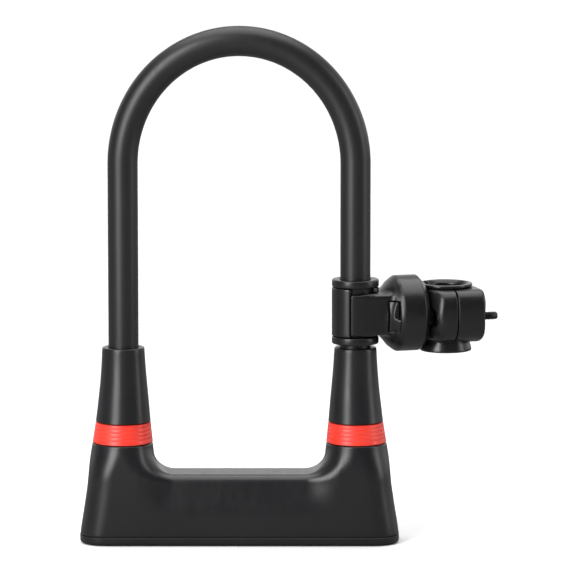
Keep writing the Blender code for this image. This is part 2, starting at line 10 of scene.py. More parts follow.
import bmesh
import bpy
import numpy as np
from mathutils import Matrix, Vector


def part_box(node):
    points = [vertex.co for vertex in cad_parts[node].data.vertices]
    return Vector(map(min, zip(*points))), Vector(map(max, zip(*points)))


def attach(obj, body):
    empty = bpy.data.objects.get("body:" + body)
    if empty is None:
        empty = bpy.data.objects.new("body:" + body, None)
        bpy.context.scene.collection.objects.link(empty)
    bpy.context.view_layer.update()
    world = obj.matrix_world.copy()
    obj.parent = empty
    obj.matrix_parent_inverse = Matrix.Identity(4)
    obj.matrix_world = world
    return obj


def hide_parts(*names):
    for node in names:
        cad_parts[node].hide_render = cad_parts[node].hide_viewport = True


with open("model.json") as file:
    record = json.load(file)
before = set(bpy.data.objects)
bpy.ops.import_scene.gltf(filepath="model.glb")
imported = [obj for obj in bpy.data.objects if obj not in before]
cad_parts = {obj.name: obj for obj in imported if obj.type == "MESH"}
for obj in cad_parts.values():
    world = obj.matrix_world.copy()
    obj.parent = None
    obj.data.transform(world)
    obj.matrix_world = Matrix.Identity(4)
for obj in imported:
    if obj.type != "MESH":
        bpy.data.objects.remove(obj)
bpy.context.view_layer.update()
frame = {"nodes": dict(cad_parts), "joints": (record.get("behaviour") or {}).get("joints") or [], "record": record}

MM = 0.001
GAP = 0.3                      # clearance between neighbouring pieces
FAR = 60.0                     # past the end of anything on the bracket


def box_mm(node):
    low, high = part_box(node)
    return np.array(low) / MM, np.array(high) / MM


# ---------------------------------------------------------------- sizes read from the frame

HIGH_CAP = box_mm("base_cover")[1]
LOW_SHELL, HIGH_SHELL = box_mm("housing")
LOW_RING, HIGH_RING = box_mm("accent_ring_right")
HIGH_SLEEVE = box_mm("column_sleeve_right")[1]
LOW_COAT, HIGH_COAT = box_mm("shackle_cover")
LOW_SPOOL, HIGH_SPOOL = box_mm("leg_spool")

LEG_X = float(LOW_RING[0] + HIGH_RING[0]) / 2.0
COAT_R = float(HIGH_COAT[1])
ARCH_RISE = 62.5               # the arch is a half ellipse, a little taller than a half circle
CROWN_DROP = 0.5               # the coating is thicker inside the bend and thinner over the crown
ARCH_Z = float(HIGH_COAT[2]) - ARCH_RISE - COAT_R - CROWN_DROP
HALF_DEPTH = float(HIGH_SHELL[1])
SHELL_LOW = float(LOW_SHELL[2])
SHELL_HIGH = float(HIGH_SHELL[2])
RING_LOW = float(LOW_RING[2])
RING_HIGH = float(HIGH_RING[2])
COLUMN_TOP = float(HIGH_SLEEVE[2])
BAR_TOP_Z = 35.8               # top of the crossbar between the columns
FILLET_R = 10.5                # inside corner between crossbar and column
TOP_LEAN = 3.2                 # how far the crossbar's front and back lean in towards its top
EDGE_R = 4.2                   # rounding of the crossbar's upper edges
END_R = 13.0                   # rounding of its ends, seen from above
SHUTTER_HALF_LOW = 7.0         # half width of the keyhole shutter at the underside; it widens upwards
COLUMN_SIDES = 96              # points round a column

# The bracket's own frame: x runs along the arm from the leg's axis, z is up, and z = 0 is the arm's middle
ARM_Z = 117.0
ARM_YAW = math.radians(16.0)
FLANGE_R = 12.0
COLLAR_IN_R = 9.4
COLLAR_LOW = -9.7
COLLAR_HIGH = 11.4
SPOOL_R = 9.1
SPOOL_THICK = 3.8              # of each flange
SPOOL_LOW = float(LOW_SPOOL[2]) - ARM_Z
SPOOL_HIGH = float(HIGH_SPOOL[2]) - ARM_Z
KEEPER_ANGLE = math.radians(61.0)
CUP_R = 19.5
CUP_FACE_X = 34.9              # open face of the cup
SOCKET_R = 15.5
SOCKET_X = 23.7                # floor of the cup's socket
BUTTON_HALF_Z = 7.7
CLAMP_X = 48.5                 # axis of the bore for the bicycle's tube
CLAMP_START_X = 35.6
CLAMP_END_X = 63.7
CLAMP_HALF_Y = 22.0
CLAMP_HALF_Z = 15.5
CLAMP_SEAT_Z = 12.7            # flat top that the shim's rim lies on
CLAMP_SPLIT = 0.25             # half the gap between the clamp's two halves
CLAMP_BORE_R = 12.4
PIN_Y = 17.6                   # hinge pin, with three knuckles on it
PIN_HOLE_R = 1.9
KNUCKLE_R = 4.2
KNUCKLE_HALF = 4.6             # half height of the jaw's middle knuckle
KNUCKLE_END = 9.2              # outer ends of the mount's two
KNUCKLE_ROOM = 0.4             # air round a knuckle
SCREW_Y = -15.6                # clamp screw, which lies along the arm
SCREW_Z = -1.0
SCREW_ROOM_R = 2.45            # hole for its shank
BRACKET = Matrix.Translation((LEG_X * MM, 0.0, ARM_Z * MM)) @ Matrix.Rotation(ARM_YAW, 4, "Z")


# ---------------------------------------------------------------- node helpers

class Shader:
    """A material under construction: node() adds a node, link() joins sockets."""

    def __init__(self, name):
        self.material = bpy.data.materials.new(name)
        self.material.use_nodes = True
        self.tree = self.material.node_tree
        self.surface = self.tree.nodes["Principled BSDF"]
        self.place = self.node("ShaderNodeTexCoord").outputs["Object"]

    def node(self, kind, inputs=None, **settings):
        made = self.tree.nodes.new(kind)
        for key, value in settings.items():
            setattr(made, key, value)
        for key, value in (inputs or {}).items():
            if hasattr(value, "is_output"):
                self.tree.links.new(value, made.inputs[key])
            else:
                made.inputs[key].default_value = value
        return made

    def link(self, output, socket):
        self.tree.links.new(output, self.surface.inputs[socket])

    def noise(self, scale, detail=3.0, roughness=0.55, stretch=None):
        place = self.place
        if stretch is not None:
            place = self.node("ShaderNodeMapping", {"Vector": place, "Scale": stretch}).outputs[0]
        made = self.node("ShaderNodeTexNoise", {"Vector": place, "Scale": scale, "Detail": detail,
                                                "Roughness": roughness})
        return made.outputs["Fac"]

    def spread(self, source, low, high):
        """A noise's usual values, 0.3 to 0.7, carried over to low and high."""
        made = self.node("ShaderNodeMapRange", {"Value": source, "From Min": 0.3, "From Max": 0.7,
                                                "To Min": low, "To Max": high})
        return made.outputs["Result"]

    def tint(self, source, low, high):
        factor = self.spread(source, 0.0, 1.0)
        made = self.node("ShaderNodeMix", {"Factor": factor}, data_type="RGBA")
        made.inputs["A"].default_value = (*low, 1.0)
        made.inputs["B"].default_value = (*high, 1.0)
        return made.outputs["Result"]

    def bump(self, heights):
        """heights is a list of (source, strength, distance in metres)."""
        normal = None
        for source, strength, distance in heights:
            inputs = {"Height": source, "Strength": strength, "Distance": distance}
            if normal is not None:
                inputs["Normal"] = normal
            normal = self.node("ShaderNodeBump", inputs).outputs["Normal"]
        self.link(normal, "Normal")


def moulded_plastic(name, low, high, roughness, grain_scale=2600.0, grain=0.10):
    """Injection moulded plastic: fine spark-eroded grain, faint flow marks and handling scuffs."""
    make = Shader(name)
    broad = make.noise(28.0, 4.0)
    grain_map = make.noise(grain_scale, 2.0, 0.6)
    scuff = make.noise(240.0, 5.0, 0.7, stretch=(1.0, 1.0, 0.25))
    make.link(make.tint(broad, low, high), "Base Color")
    make.link(make.spread(scuff, roughness - 0.035, roughness + 0.05), "Roughness")
    make.bump([(grain_map, grain, 0.00006), (broad, 0.05, 0.0004)])
    return make.material


def coated_bar():
    """Soft coating on the bar: smooth skin with faint drawn streaks along the bar."""
    make = Shader("soft_coating")
    streak = make.noise(420.0, 3.0, 0.6, stretch=(1.0, 1.0, 0.04))
    pore = make.noise(3400.0, 2.0, 0.6)
    broad = make.noise(24.0, 3.0)
    make.link(make.tint(broad, (0.0065, 0.0065, 0.0070), (0.0088, 0.0088, 0.0094)), "Base Color")
    make.link(make.spread(streak, 0.36, 0.45), "Roughness")
    make.bump([(pore, 0.10, 0.00005), (streak, 0.05, 0.00010)])
    return make.material


def red_plastic():
    make = Shader("accent_red")
    broad = make.noise(60.0, 3.0)
    grain = make.noise(2600.0, 2.0, 0.6)
    make.link(make.tint(broad, (0.62, 0.026, 0.014), (0.70, 0.036, 0.020)), "Base Color")
    make.link(make.spread(broad, 0.30, 0.40), "Roughness")
    make.bump([(grain, 0.08, 0.00005)])
    return make.material


def metal(name, low, high, roughness, stretch, grain=0.12):
    """Machined or drawn metal with fine directional marks."""
    make = Shader(name)
    line = make.noise(900.0, 4.0, 0.65, stretch=stretch)
    broad = make.noise(70.0, 4.0)
    make.link(make.tint(broad, low, high), "Base Color")
    make.link(make.spread(line, roughness - 0.08, roughness + 0.10), "Roughness")
    make.surface.inputs["Metallic"].default_value = 1.0
    make.bump([(line, grain, 0.00005)])
    return make.material


def rubber():
    make = Shader("rubber")
    grain = make.noise(1500.0, 4.0, 0.7)
    bloom = make.noise(90.0, 4.0)
    make.link(make.tint(bloom, (0.0070, 0.0070, 0.0075), (0.0110, 0.0110, 0.0116)), "Base Color")
    make.link(make.spread(bloom, 0.22, 0.32), "Roughness")
    make.bump([(grain, 0.16, 0.00008)])
    return make.material


def make_materials():
    return {
        "housing_plastic": moulded_plastic("housing_plastic", (0.0070, 0.0072, 0.0082),
                                           (0.0092, 0.0094, 0.0105), 0.31),
        "bracket_plastic": moulded_plastic("bracket_plastic", (0.0055, 0.0055, 0.0060),
                                           (0.0075, 0.0075, 0.0081), 0.30, 2100.0, 0.13),
        "accent_red": red_plastic(),
        "soft_coating": coated_bar(),
        "rubber": rubber(),
        "nylon": moulded_plastic("nylon", (0.66, 0.65, 0.60), (0.74, 0.73, 0.68), 0.45),
        "steel": metal("steel", (0.50, 0.51, 0.52), (0.60, 0.61, 0.62), 0.30, (1.0, 1.0, 0.06)),
        "dark_steel": metal("dark_steel", (0.075, 0.075, 0.078), (0.12, 0.12, 0.125), 0.34,
                            (0.1, 1.0, 1.0)),
        "zinc": metal("zinc", (0.42, 0.43, 0.45), (0.50, 0.51, 0.53), 0.44, (1.0, 1.0, 1.0), 0.25),
        "brass": metal("brass", (0.70, 0.50, 0.20), (0.80, 0.60, 0.28), 0.26, (1.0, 1.0, 0.08)),
    }


# ---------------------------------------------------------------- meshes from rings

def circle(radius, sides, centre=(0.0, 0.0)):
    turns = np.arange(sides) * 2.0 * math.pi / sides
    return [(centre[0] + radius * math.cos(t), centre[1] + radius * math.sin(t)) for t in turns]


def write_mesh(name, points, faces, material, bracket=False, sharp=None):
    """Points in millimetres become a mesh in metres. bracket moves them from the arm's own frame."""
    mesh = bpy.data.meshes.new(name)
    mesh.from_pydata([tuple(p) for p in np.asarray(points, float) * MM], [], faces)
    if bracket:
        mesh.transform(BRACKET)
    bm = bmesh.new()
    bm.from_mesh(mesh)
    bmesh.ops.recalc_face_normals(bm, faces=bm.faces)
    bm.to_mesh(mesh)
    bm.free()
    mesh.materials.append(material)
    mesh.shade_smooth()
    if sharp is not None:
        mesh.set_sharp_from_angle(angle=math.radians(sharp))
    obj = bpy.data.objects.new(name, mesh)
    bpy.context.scene.collection.objects.link(obj)
    return obj


def loft(name, rings, material, bracket=False, closed=False, sharp=40.0):
    """Skin through rings of equal length: closed on itself, or else capped at both ends."""
    count = len(rings[0])
    points = [p for ring in rings for p in ring]
    faces = []
    rows = len(rings)
    spans = rows if closed else rows - 1
    for r in range(spans):
        low = r * count
        high = ((r + 1) % rows) * count
        for k in range(count):
            n = (k + 1) % count
            faces.append((low + k, low + n, high + n, high + k))
    if not closed:
        faces.append(tuple(range(count)))
        faces.append(tuple(range((rows - 1) * count, rows * count)))
    return write_mesh(name, points, faces, material, bracket, sharp)


def rounded(profile, radius):
    """Round every corner of a closed (radius, height) profile."""
    steps = 4
    result = []
    count = len(profile)
    for k in range(count):
        here = np.array(profile[k], float)
        before = np.array(profile[k - 1], float) - here
        after = np.array(profile[(k + 1) % count], float) - here
        reach = min(radius, 0.45 * np.linalg.norm(before), 0.45 * np.linalg.norm(after))
        start = here + before / np.linalg.norm(before) * reach
        end = here + after / np.linalg.norm(after) * reach
        for s in range(steps + 1):
            t = s / steps
            point = (1 - t) ** 2 * start + 2 * t * (1 - t) * here + t * t * end
            result.append((float(point[0]), float(point[1])))
    return result


def turned(name, profile, sides, material):
    """A hollow turned piece about the leg, from a closed (radius, height) profile."""
    rings = [[(x, y, z) for x, y in circle(r, sides)] for r, z in profile]
    return loft(name, rings, material, bracket=True, closed=True)


def turned_along(name, profile, sides, material):
    """The same about the arm. profile is (radius, distance along the arm)."""
    rings = [[(x, y, z) for y, z in circle(r, sides)] for r, x in profile]
    return loft(name, rings, material, bracket=True, closed=True)


def settle(piece, body, slot, *nodes):
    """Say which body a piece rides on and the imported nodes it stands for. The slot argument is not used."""
    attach(piece, body)
    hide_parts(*nodes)


# ---------------------------------------------------------------- distance fields

def join(a, b, k):
    """Union with a fillet of about k."""
    h = np.maximum(k - np.abs(a - b), 0.0) / k
    return np.minimum(a, b) - h * h * k / 4.0


def meet(a, b, k=0.0):
    """Intersection, with a rounding of about k."""
    if k == 0.0:
        return np.maximum(a, b)
    return -join(-a, -b, k)


def carve(a, b, k=0.0):
    """a with b taken away, and a rounded edge of about k."""
    return meet(a, -b, k)


def slab(p, low, high, radius=0.0):
    low = np.array(low, float)
    high = np.array(high, float)
    q = np.abs(p - (low + high) / 2.0) - (high - low) / 2.0 + radius
    outside = np.sqrt((np.maximum(q, 0.0) ** 2).sum(-1))
    return outside + np.minimum(q.max(-1), 0.0) - radius


def post(p, centre, radius, low, high):
    """Upright cylinder."""
    r = np.hypot(p[..., 0] - centre[0], p[..., 1] - centre[1])
    return np.maximum(r - radius, np.maximum(low - p[..., 2], p[..., 2] - high))


def rod(p, centre, radius, low, high):
    """Cylinder along the arm. centre is (y, z)."""
    r = np.hypot(p[..., 1] - centre[0], p[..., 2] - centre[1])
    return np.maximum(r - radius, np.maximum(low - p[..., 0], p[..., 0] - high))


def ball(p, centre, radii):
    """Ellipsoid, as a scaled distance."""
    q = (p - np.array(centre, float)) / np.array(radii, float)
    return (np.sqrt((q ** 2).sum(-1)) - 1.0) * min(radii)


def outline_distance(x, z, outline):
    """Signed distance to a closed outline in a plane, negative inside."""
    points = np.array(outline, float)
    after = np.roll(points, -1, axis=0)
    best = np.full(x.shape, 1e18)
    inside = np.zeros(x.shape, bool)
    for (ax, az), (bx, bz) in zip(points, after):
        ex = bx - ax
        ez = bz - az
        t = np.clip(((x - ax) * ex + (z - az) * ez) / (ex * ex + ez * ez), 0.0, 1.0)
        best = np.minimum(best, (x - ax - t * ex) ** 2 + (z - az - t * ez) ** 2)
        if ez != 0.0:
            crosses = (az > z) != (bz > z)
            inside ^= crosses & (x < ex * (z - az) / ez + ax)
    distance = np.sqrt(best)
    return np.where(inside, -distance, distance)


def push_to_surface(points, field, reach):
    """Newton steps that bring points on to the field's zero surface."""
    step = 0.01
    for _ in range(4):
        value = field(points)
        slope = np.empty_like(points)
        for axis in range(3):
            shift = np.zeros(3)
            shift[axis] = step
            slope[:, axis] = (field(points + shift) - field(points - shift)) / (2.0 * step)
        size = np.maximum((slope ** 2).sum(1), 1e-6)
        move = -(value / size)[:, None] * slope
        length = np.linalg.norm(move, axis=1, keepdims=True)
        points = points + move * np.minimum(1.0, reach / np.maximum(length, 1e-9))
    return points


def skin(name, field, low, high, cell, material, bracket=False):
    """Closed quad mesh over a distance field: one point in each grid cell that the surface crosses."""
    axes = [np.arange(a - 2.0 * cell, b + 3.0 * cell, cell) for a, b in zip(low, high)]
    grid = np.stack(np.meshgrid(*axes, indexing="ij"), -1)
    value = field(grid)
    inside = value < 0.0
    corners = [(i, j, k) for i in (0, 1) for j in (0, 1) for k in (0, 1)]
    cells = tuple(n - 1 for n in inside.shape)
    total = np.zeros(cells, int)
    for i, j, k in corners:
        total += inside[i:i + cells[0], j:j + cells[1], k:k + cells[2]]
    active = np.argwhere((total > 0) & (total < 8))
    number = np.full(cells, -1)
    number[tuple(active.T)] = np.arange(len(active))
    position = np.zeros((len(active), 3))
    weight = np.zeros(len(active))
    for a in corners:
        for axis in range(3):
            if a[axis]:
                continue
            b = list(a)
            b[axis] = 1
            first = active + a
            last = active + b
            va = value[tuple(first.T)]
            vb = value[tuple(last.T)]
            crossed = (va < 0.0) != (vb < 0.0)
            t = np.where(crossed, va / np.where(crossed, va - vb, 1.0), 0.0)
            spot = grid[tuple(first.T)].copy()
            spot[:, axis] += t * cell
            position += spot * crossed[:, None]
            weight += crossed
    position /= weight[:, None]
    position = push_to_surface(position, field, 0.6 * cell)
    faces = []
    for axis in range(3):
        u, v = [a for a in range(3) if a != axis]
        head = [slice(None)] * 3
        tail = [slice(None)] * 3
        head[axis] = slice(None, -1)
        tail[axis] = slice(1, None)
        change = inside[tuple(head)] != inside[tuple(tail)]
        edge = np.argwhere(change)
        keep = (edge[:, u] > 0) & (edge[:, v] > 0)
        edge = edge[keep]
        around = []
        for du, dv in ((-1, -1), (0, -1), (0, 0), (-1, 0)):
            cell_index = edge.copy()
            cell_index[:, u] += du
            cell_index[:, v] += dv
            around.append(number[tuple(cell_index.T)])
        faces.extend(map(tuple, np.stack(around, 1).tolist()))
    return write_mesh(name, position, faces, material, bracket)


# ---------------------------------------------------------------- crossbar shell

def smooth_line(points, x):
    """Monotone cubic through (x, value) points."""
    xs = np.array([p[0] for p in points], float)
    ys = np.array([p[1] for p in points], float)
    h = np.diff(xs)
    slope = np.diff(ys) / h
    tangent = np.zeros(len(xs))
    tangent[0] = slope[0]
    tangent[-1] = slope[-1]
    for k in range(1, len(xs) - 1):
        if slope[k - 1] * slope[k] > 0.0:
            w1 = 2.0 * h[k] + h[k - 1]
            w2 = h[k] + 2.0 * h[k - 1]
            tangent[k] = (w1 + w2) / (w1 / slope[k - 1] + w2 / slope[k])
    x = np.clip(np.asarray(x, float), xs[0], xs[-1])
    k = np.clip(np.searchsorted(xs, x) - 1, 0, len(xs) - 2)
    t = (x - xs[k]) / h[k]
    rest = 1.0 - t
    return (ys[k] * (1.0 + 2.0 * t) * rest ** 2 + tangent[k] * h[k] * t * rest ** 2
            + ys[k + 1] * (3.0 - 2.0 * t) * t ** 2 - tangent[k + 1] * h[k] * t ** 2 * rest)


# (height, reach from the leg's axis) of a column's outer and inner sides
OUTER_SIDE = ((-25.0, 25.0), (6.1, 22.3), (18.4, 20.4), (30.8, 18.6), (42.5, 17.5), (52.4, 15.9),
              (62.2, 14.4), (73.5, 13.0), (81.7, 12.1), (93.0, 11.25), (99.8, 10.9))
INNER_SIDE = ((46.3, 15.3), (55.5, 14.35), (62.2, 13.7), (73.5, 12.75), (81.7, 12.0), (93.0, 11.1),
              (99.8, 10.7))


def outer_side(z):
    return smooth_line(OUTER_SIDE, z)


def inner_side(z):
    return smooth_line(INNER_SIDE, z)


def shell_outline():
    """The shell seen from the front, run on below the seam and above the red rings."""
    foot = OUTER_SIDE[0][0]
    top = 75.0
    fillet_z = BAR_TOP_Z + FILLET_R
    fillet_x = LEG_X - inner_side(INNER_SIDE[0][0]) - FILLET_R
    fillet_steps = 16
    right = []
    for z in np.linspace(foot, top, 41):
        right.append((LEG_X + float(outer_side(z)), float(z)))
    for z in np.linspace(top, fillet_z, 12):
        right.append((LEG_X - float(inner_side(z)), float(z)))
    for k in range(1, fillet_steps + 1):
        t = -0.5 * math.pi * k / fillet_steps
        right.append((float(fillet_x + FILLET_R * math.cos(t)), fillet_z + FILLET_R * math.sin(t)))
    return right + [(-x, z) for x, z in reversed(right)]


def ease(value, start, end):
    """0 before start, 1 past end, and a smooth step between."""
    t = np.clip((value - start) / (end - start), 0.0, 1.0)
    return t * t * (3.0 - 2.0 * t)


def shell_field(outline):
    """Outside of the shell: a flat-fronted bar whose ends turn into round columns."""
    def field(p):
        x = np.abs(p[..., 0])
        y = np.abs(p[..., 1])
        z = p[..., 2]
        edge = outline_distance(p[..., 0].ravel(), z.ravel(), outline).reshape(z.shape)
        column = (outer_side(z) + inner_side(z)) / 2.0
        rise = ease(z, 33.0, 50.0)
        lean = TOP_LEAN * ease(z, 14.0, 34.0) * (1.0 - ease(x, 34.0, 52.0))
        depth = HALF_DEPTH - lean + (column - HALF_DEPTH) * rise
        low_round = EDGE_R + (END_R - EDGE_R) * ease(x, 36.0, 62.0)
        rounding = low_round + (column - low_round) * rise
        out = np.maximum(edge + rounding, 0.0)
        front = np.maximum(y - depth + rounding, 0.0)
        within = np.minimum(np.maximum(edge, y - depth) + rounding, 0.0)
        return np.hypot(out, front) - rounding + within
    return field


def make_shell(mats):
    """Crossbar shell, hollow for the lock's steel tube and bored for the bushes and legs."""
    shape = shell_field(shell_outline())
    bay = box_mm("lock_tube")[1] + GAP
    below = -9.0
    above = 60.0
    bush_bore = (11.5, 44.7)
    leg_bore = (9.5, 20.0)

    def field(p):
        body = meet(shape(p), np.maximum(SHELL_LOW - p[..., 2], p[..., 2] - SHELL_HIGH), 0.5)
        body = carve(body, slab(p, (-bay[0], -bay[1], below), bay, 0.5))
        for side in (-1, 1):
            for (radius, floor), rim in ((bush_bore, 0.3), (leg_bore, 0.0)):
                body = carve(body, post(p, (side * LEG_X, 0.0), radius, floor, above), rim)
        return body

    cell = 0.8
    shell = skin("housing_shell", field, LOW_SHELL, HIGH_SHELL, cell, mats["housing_plastic"])
    settle(shell, "crossbar", "housing_plastic", "housing")


def column_ring(z, side, inset=0.0):
    """Section of a column: nearly round, with its outer side a little fuller."""
    outer = float(outer_side(z)) - inset
    inner = float(inner_side(z)) - inset
    centre = (outer - inner) / 2.0
    half_x = (outer + inner) / 2.0
    ring = []
    for c, s in circle(1.0, COLUMN_SIDES):
        ring.append((side * (LEG_X + centre + half_x * c), half_x * s, z))
    return ring


def round_ring(radius, z, side):
    return [(side * (LEG_X + radius * c), radius * s, z) for c, s in circle(1.0, COLUMN_SIDES)]


def make_sleeve(mats, word, side):
    """Tapered sleeve with a spigot that sits in the red ring."""
    rim_round = 0.7
    rim_steps = 6
    spigot_r = 11.4
    spigot_low = RING_HIGH - 3.0
    low = RING_HIGH + GAP
    bore = COAT_R + GAP
    rings = [round_ring(spigot_r, spigot_low, side), round_ring(spigot_r, low, side)]
    rings.append(column_ring(low, side, 0.35))
    rings.append(column_ring(low + 0.3, side))
    for z in np.linspace(low + 0.9, COLUMN_TOP - rim_round, 22):
        rings.append(column_ring(float(z), side))
    for k in range(1, rim_steps + 1):
        t = 0.5 * math.pi * k / rim_steps
        z = COLUMN_TOP - rim_round * (1.0 - math.sin(t))
        rings.append(column_ring(z, side, rim_round * (1.0 - math.cos(t))))
    rings.append(round_ring(bore + 0.25, COLUMN_TOP, side))
    for z in (COLUMN_TOP - 0.3, COLUMN_TOP - 12.0, spigot_low):
        rings.append(round_ring(bore, z, side))
    sleeve = loft(f"column_sleeve_shell_{word}", rings, mats["housing_plastic"], closed=True, sharp=50.0)
    settle(sleeve, "crossbar", "housing_plastic", f"column_sleeve_{word}")


def make_accent(mats, word, side):
    """Red ring with fine grooves turned round it."""
    lands = 5
    bore = 11.5
    chamfer = 0.30
    pitch = (RING_HIGH - RING_LOW) / lands
    groove = ((-0.16, 0.0), (-0.05, 0.05), (0.05, 0.05), (0.16, 0.0))
    rings = [round_ring(bore, RING_LOW, side), column_ring(RING_LOW, side, chamfer)]
    rings.append(column_ring(RING_LOW + 0.2, side))
    for k in range(lands):
        start = RING_LOW + k * pitch
        if k:
            rings += [column_ring(start + rise, side, depth) for rise, depth in groove]
        rings.append(column_ring(start + 0.5 * pitch, side, -0.01))
    rings.append(column_ring(RING_HIGH - 0.2, side))
    rings.append(column_ring(RING_HIGH, side, chamfer))
    rings.append(round_ring(bore, RING_HIGH, side))
    accent = loft(f"accent_ring_band_{word}", rings, mats["accent_red"], closed=True, sharp=50.0)
    settle(accent, "crossbar", "accent_red", f"accent_ring_{word}")


def plan_ring(z, half_x, inset):
    """Section of the base: a long rectangle with round corners."""
    steps = 14
    radius = END_R - inset
    half_y = HALF_DEPTH - inset
    ring = []
    for sign_x, sign_y, start in ((1, 1, 0.0), (-1, 1, 0.5), (-1, -1, 1.0), (1, -1, 1.5)):
        for k in range(steps + 1):
            t = math.pi * (start + 0.5 * k / steps)
            x = sign_x * (half_x - radius) + radius * math.cos(t)
            ring.append((x, sign_y * (half_y - radius) + radius * math.sin(t), z))
    return ring


def cut_with(target, tools):
    """Boolean cuts, applied at once so that no tool is left in the scene."""
    for tool in tools:
        modifier = target.modifiers.new("cut", "BOOLEAN")
        modifier.operation = "DIFFERENCE"
        modifier.solver = "EXACT"
        modifier.object = tool
    bpy.context.view_layer.update()
    shown = target.evaluated_get(bpy.context.evaluated_depsgraph_get())
    mesh = bpy.data.meshes.new_from_object(shown)
    target.modifiers.clear()
    target.data = mesh
    for tool in tools:
        bpy.data.objects.remove(tool, do_unlink=True)
    mesh.set_sharp_from_angle(angle=math.radians(35.0))


def make_base(mats):
    """Base cover: its rounded lower edge, the shutter's dovetail track, the keyhole and screw seats."""
    plastic = mats["housing_plastic"]
    bottom_round = 1.7
    round_steps = 6
    seam = 0.06
    top_edge = 0.15
    side_x = LEG_X + float(outer_side(HIGH_CAP[2] / 2.0))
    rings = []
    for k in range(round_steps + 1):
        t = 0.5 * math.pi * k / round_steps
        inset = bottom_round * (1.0 - math.sin(t))
        rings.append(plan_ring(bottom_round * (1.0 - math.cos(t)), side_x - inset, inset))
    top = SHELL_LOW - seam
    rings.append(plan_ring(top - top_edge, side_x, 0.0))
    rings.append(plan_ring(top, side_x - top_edge, top_edge))
    cover = loft("base_cover_shell", rings, plastic)
    low, high = box_mm("keyhole_shutter")
    travel = next(j for j in frame["joints"] if j["name"] == "shutter_slide")["range_m"][1] / MM
    x0 = low[0] - GAP
    x1 = high[0] + travel + GAP
    track = []
    for y, z in ((SHUTTER_HALF_LOW + GAP, -0.01), (high[1] + GAP, 1.7)):
        track.append([(x0, -y, z), (x1, -y, z), (x1, y, z), (x0, y, z)])
    tools = [loft("track_tool", track, plastic)]
    keyhole_r = 6.0
    above = 9.0
    keyhole = [[(x, y, z) for x, y in circle(keyhole_r, 48)] for z in (1.0, above)]
    tools.append(loft("keyhole_tool", keyhole, plastic))
    seat = ((3.3, -1.0), (3.1, 0.4), (3.1, 2.2), (1.7, 2.2), (1.7, above))
    for word in ("left", "right"):
        a, b = box_mm(f"cover_screw_{word}")
        centre = (float(a[0] + b[0]) / 2.0, 0.0)
        rings = [[(x, y, z) for x, y in circle(r, 40, centre)] for r, z in seat]
        tools.append(loft("seat_tool", rings, plastic))
    cut_with(cover, tools)
    settle(cover, "crossbar", "housing_plastic", "base_cover")


def make_shutter(mats):
    """Sliding keyhole shutter with a thumb grip of five grooves."""
    low, high = box_mm("keyhole_shutter")
    flare = 0.8
    grip_lines = 5

    def field(p):
        half_y = SHUTTER_HALF_LOW + flare * p[..., 2] / high[2]
        body = np.maximum(np.abs(p[..., 1]) - half_y, np.abs(p[..., 0]) - high[0])
        body = meet(body, np.maximum(-p[..., 2], p[..., 2] - high[2]), 0.3)
        for k in range(grip_lines):
            x = 2.2 + 1.1 * k
            groove = slab(p, (x - 0.25, -4.5, -1.0), (x + 0.25, 4.5, 0.35), 0.1)
            body = carve(body, groove, 0.2)
        return body

    shutter = skin("keyhole_shutter_plate", field, low, high, 0.35, mats["housing_plastic"])
    settle(shutter, "shutter", "housing_plastic", "keyhole_shutter")


# ---------------------------------------------------------------- shackle

def make_coating(mats):
    """Coating as a tube along the shackle. A station is (x, z, direction of the bend's outside)."""
    sides = 64
    leg_steps = 25
    arch_steps = 96
    wall = 0.6
    end_round = 0.3
    foot = float(LOW_COAT[2])
    stations = [(-LEG_X, z, math.pi) for z in np.linspace(foot, ARCH_Z, leg_steps + 1)[:-1]]
    for k in range(arch_steps + 1):
        t = math.pi * (1.0 - k / arch_steps)
        lean = math.atan2(LEG_X * math.sin(t), ARCH_RISE * math.cos(t))
        stations.append((LEG_X * math.cos(t), ARCH_Z + ARCH_RISE * math.sin(t), lean))
    stations += [(-x, z, 0.0) for x, z, _ in reversed(stations[:leg_steps])]

    def ring(station, radius):
        x, z, t = station
        return [(x + radius * c * math.cos(t), radius * s, z + radius * c * math.sin(t))
                for c, s in circle(1.0, sides)]

    rings = [ring(stations[0], COAT_R - end_round)]
    rings += [ring(s, COAT_R) for s in stations]
    rings.append(ring(stations[-1], COAT_R - end_round))
    inner = [ring(s, COAT_R - wall) for s in reversed(stations)]
    coat = loft("shackle_coating", rings + inner, mats["soft_coating"], closed=True, sharp=60.0)
    settle(coat, "shackle", "soft_coating", "shackle_cover")


# ---------------------------------------------------------------- carrier bracket

def angle_from_leg(p):
    """Angle round the leg, 0 along the arm."""
    return np.arctan2(p[..., 1], p[..., 0])


def make_spool(mats):
    """Flanged spool on the leg, held by the collar."""
    low = SPOOL_LOW
    high = SPOOL_HIGH
    bore = COAT_R + GAP
    thick = SPOOL_THICK
    profile = rounded([
        (FLANGE_R, low), (FLANGE_R, low + thick), (SPOOL_R, low + thick), (SPOOL_R, high - thick),
        (FLANGE_R, high - thick), (FLANGE_R, high), (bore, high), (bore, low),
    ], 0.8)
    spool = turned("leg_spool_body", profile, 96, mats["bracket_plastic"])
    settle(spool, "spool", "bracket_plastic", "leg_spool")


def make_keeper(mats):
    """Back half of the collar, which closes the arm round the spool."""
    low = SPOOL_LOW + SPOOL_THICK + GAP
    high = SPOOL_HIGH - SPOOL_THICK - GAP

    def field(p):
        r = np.hypot(p[..., 0], p[..., 1])
        band = meet(np.maximum(r - FLANGE_R, COLLAR_IN_R - r),
                    np.maximum(low - p[..., 2], p[..., 2] - high), 0.7)
        turn = math.pi - np.abs(angle_from_leg(p))
        return meet(band, (turn - KEEPER_ANGLE) * r, 0.8)

    reach = FLANGE_R + 0.1
    keeper = skin("collar_keeper_shell", field, (-reach, -reach, low), (0.0, reach, high), 0.45,
                  mats["bracket_plastic"], bracket=True)
    settle(keeper, "holder", "bracket_plastic", "collar_keeper")


